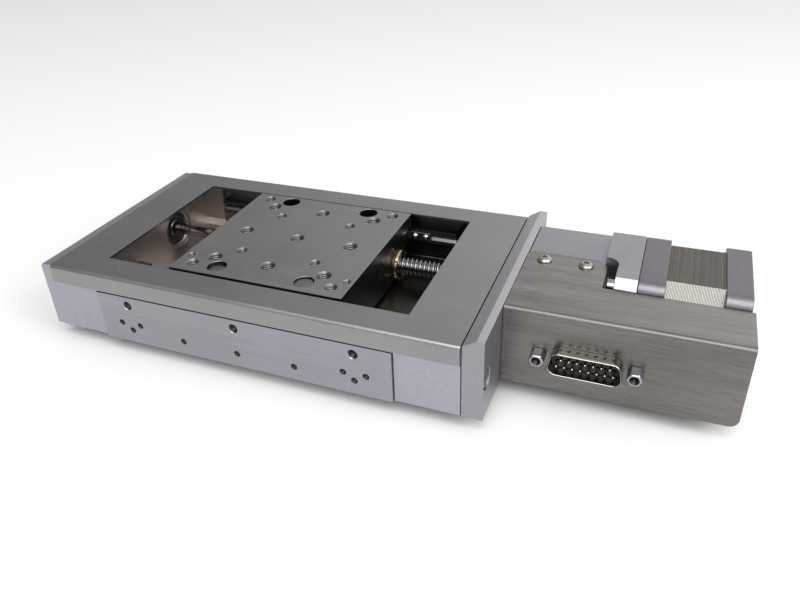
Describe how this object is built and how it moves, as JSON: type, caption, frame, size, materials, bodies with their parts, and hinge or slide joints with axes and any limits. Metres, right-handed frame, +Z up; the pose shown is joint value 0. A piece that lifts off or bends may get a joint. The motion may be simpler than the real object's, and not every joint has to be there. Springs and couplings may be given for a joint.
{
  "type": "motorised linear stage",
  "caption": "Low-profile linear stage: table on caged-ball rails, moved by a fine-pitch screw and a square stepper motor, with a connector box beside the motor.",
  "frame": {"origin": "centre of the underside of the mounting pad", "axes": "+X along the travel towards the motor, +Y to the rear (away from the connector), +Z up, out of the table top"},
  "size_m": [0.2726, 0.1039, 0.0426],
  "materials": {
    "base_steel": "ground, brushed",
    "cover_stainless": "brushed sheet",
    "table_stainless": "fine ground",
    "block_aluminium": "matte, clear anodised",
    "motor_casting": "cast, satin",
    "stator_laminations": "stacked laminations, cut edges bright",
    "rail_steel": "ground, hardened",
    "screw_steel": "polished",
    "cage_steel": "pressed sheet with polished balls",
    "hardware_zinc": "bright plated",
    "shell_nickel": "dull nickel plate",
    "collar_brass": "bright",
    "black_plastic": "matte",
    "board_green": "solder resist",
    "spider_red": "matte"
  },
  "bodies": {
    "frame": {"base_body": "base_steel", "top_cover": "cover_stainless", "connector_box": "cover_stainless", "box_bottom_panel": "cover_stainless", "box_back_panel": "cover_stainless", "end_block_left": "block_aluminium", "end_block_right": "block_aluminium", "end_plate_left": "block_aluminium", "flange_plate": "block_aluminium", "motor_bracket": "block_aluminium", "motor_front_bell": "motor_casting", "motor_rear_bell": "motor_casting", "motor_stator": "stator_laminations", "outer_rail_front": "rail_steel", "outer_rail_rear": "rail_steel", "bearing_left_outer": "rail_steel", "bearing_right_outer": "rail_steel", "end_plate_screw_1": "hardware_zinc", "end_plate_screw_2": "hardware_zinc", "end_plate_screw_3": "hardware_zinc", "end_plate_screw_4": "hardware_zinc", "flange_screw_front": "hardware_zinc", "flange_screw_rear": "hardware_zinc", "box_screw_left": "hardware_zinc", "box_screw_right": "hardware_zinc", "motor_screw_1": "hardware_zinc", "motor_screw_2": "hardware_zinc", "motor_screw_3": "hardware_zinc", "jack_screw_left": "hardware_zinc", "jack_screw_right": "hardware_zinc", "dsub_shell": "shell_nickel", "dsub_contacts": "collar_brass", "dsub_insulator": "black_plastic", "limit_switch_left": "black_plastic", "limit_switch_right": "black_plastic", "sensor_board": "board_green"},
    "screw": {"lead_screw": "screw_steel", "bearing_left_inner": "rail_steel", "bearing_right_inner": "rail_steel", "screw_lock_nut": "base_steel", "coupling_hub_screw": "block_aluminium", "coupling_hub_motor": "block_aluminium", "coupling_spider": "spider_red", "motor_shaft": "screw_steel", "motor_rotor": "stator_laminations"},
    "carriage": {"carriage_table": "table_stainless", "drive_nut": "table_stainless", "nut_collar": "collar_brass", "inner_rail_front": "rail_steel", "inner_rail_rear": "rail_steel", "table_screw_left": "hardware_zinc", "table_screw_right": "hardware_zinc", "sensor_flag": "cage_steel"},
    "cage_front": {"ball_cage_front": "cage_steel"},
    "cage_rear": {"ball_cage_rear": "cage_steel"}
  },
  "joints": [
    {"name": "screw_spin", "type": "hinge", "parent": "frame", "child": "screw", "pos_m": [0, 0.0174, 0.0216], "axis": [1, 0, 0], "range_deg": [-4235, 4775]},
    {"name": "carriage_slide", "type": "slide", "parent": "frame", "child": "carriage", "axis": [1, 0, 0], "range_m": [-0.0265, 0.0235]},
    {"name": "cage_front_slide", "type": "slide", "parent": "frame", "child": "cage_front", "axis": [1, 0, 0], "range_m": [-0.01328, 0.01178]},
    {"name": "cage_rear_slide", "type": "slide", "parent": "frame", "child": "cage_rear", "axis": [1, 0, 0], "range_m": [-0.01328, 0.01178]}
  ],
  "couplings": [
    {"joint": "screw_spin", "follows": "carriage_slide", "rad_per_m": -3141.6},
    {"joint": "cage_front_slide", "follows": "carriage_slide", "ratio": 0.5},
    {"joint": "cage_rear_slide", "follows": "carriage_slide", "ratio": 0.5}
  ]
}
